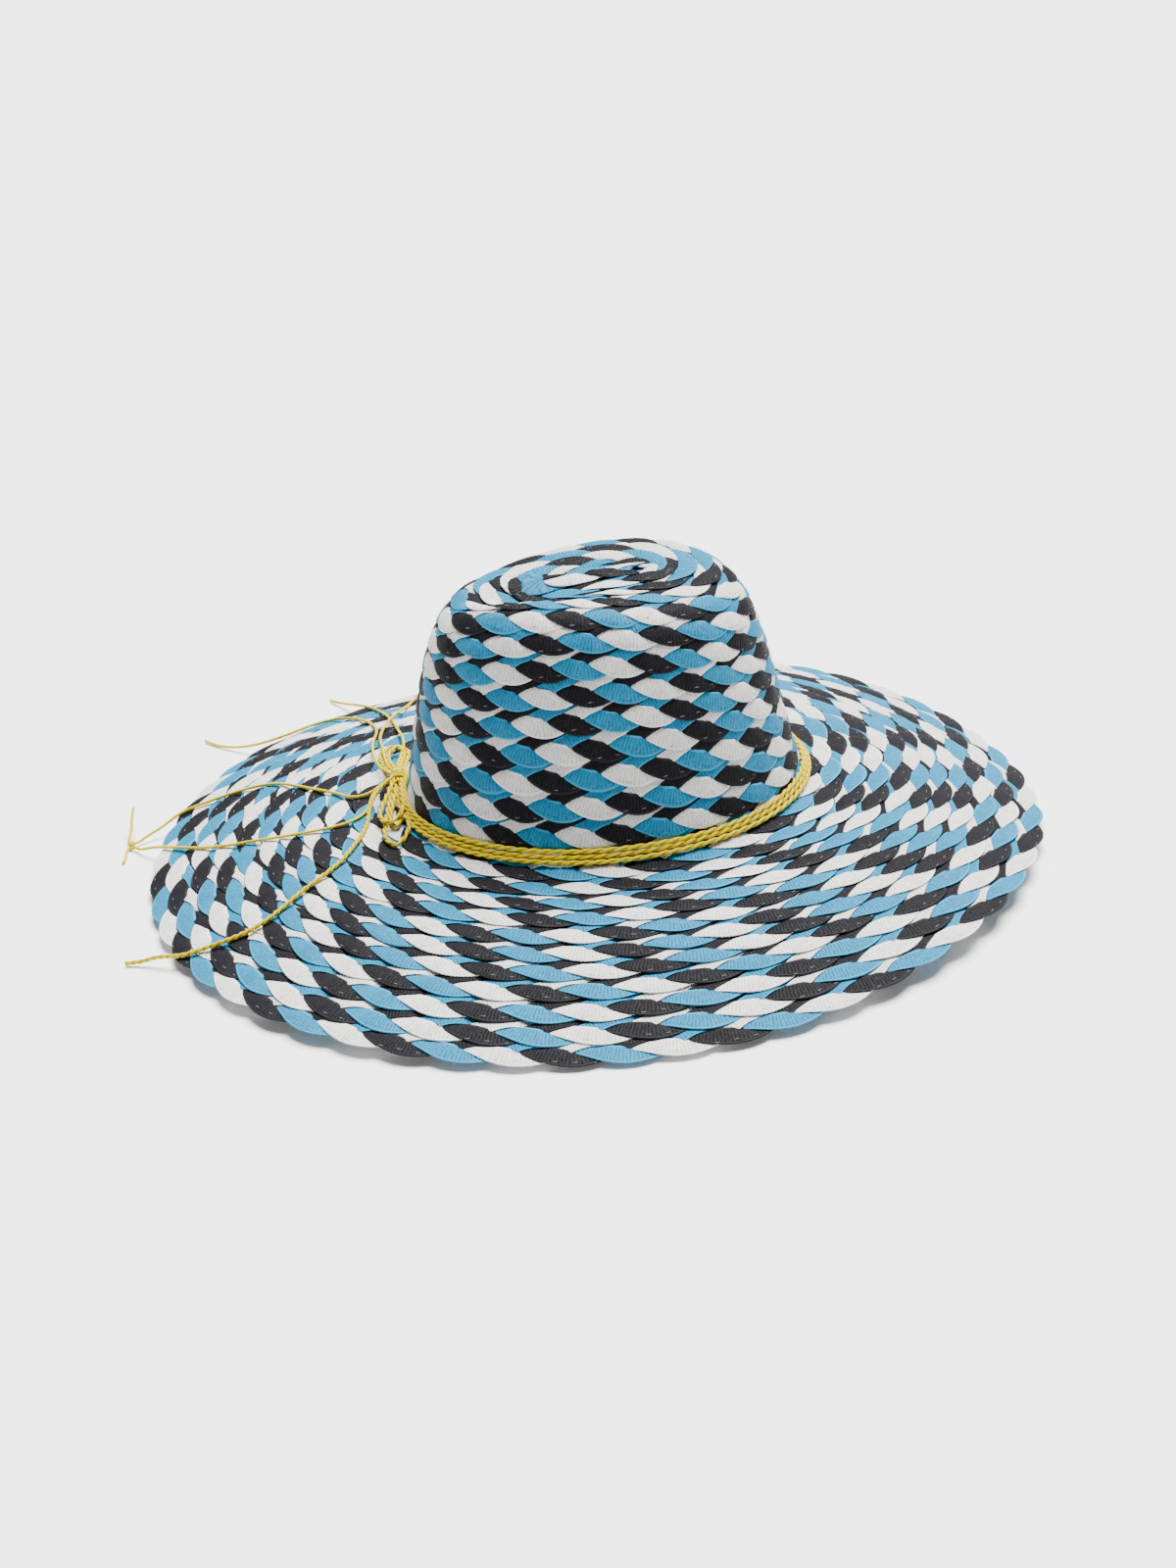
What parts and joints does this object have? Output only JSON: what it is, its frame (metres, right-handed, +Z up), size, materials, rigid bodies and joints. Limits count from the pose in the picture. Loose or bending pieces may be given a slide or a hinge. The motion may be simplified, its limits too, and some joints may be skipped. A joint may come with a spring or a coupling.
{
  "type": "sun hat",
  "caption": "Wide-brimmed straw sun hat of sewn three-colour plait, with a cord band tied in a bow whose loose ends lie over the brim.",
  "frame": {"origin": "on the floor under the middle of the brim's outline, where the brim's edge rests", "axes": "+Z up through the crown, +X along the head's long way, away from the side with the bow, +Y away from the viewer"},
  "size_m": [0.4954, 0.4426, 0.1555],
  "materials": {
    "plait": "plaited paper straw in three colours, semi-matt",
    "plait_blue": "sky blue paper straw, fine cross ribs, soft sheen",
    "plait_white": "white paper straw, fine cross ribs, soft sheen",
    "plait_black": "black paper straw, fine cross ribs, soft sheen",
    "cord": "yellow twisted paper cord, matt",
    "thread": "pale sewing thread, matt"
  },
  "bodies": {
    "root": {"crown": "plait", "brim": "plait", "band_cord_low": "cord", "band_cord_middle": "cord", "band_cord_high": "cord", "bow_knot": "cord", "bow_loop_near_long": "cord", "bow_loop_near_short": "cord", "bow_loop_near_top": "cord", "bow_loop_far_long": "cord", "bow_loop_far_short": "cord", "tail_far_crossing": "cord", "tail_far_crown": "cord", "tail_far_long": "cord", "tail_left_upper": "cord", "tail_left_lower": "cord", "tail_near": "cord", "end_tip_up": "cord", "end_tip_down": "cord", "end_knot": "cord"}
  },
  "joints": []
}
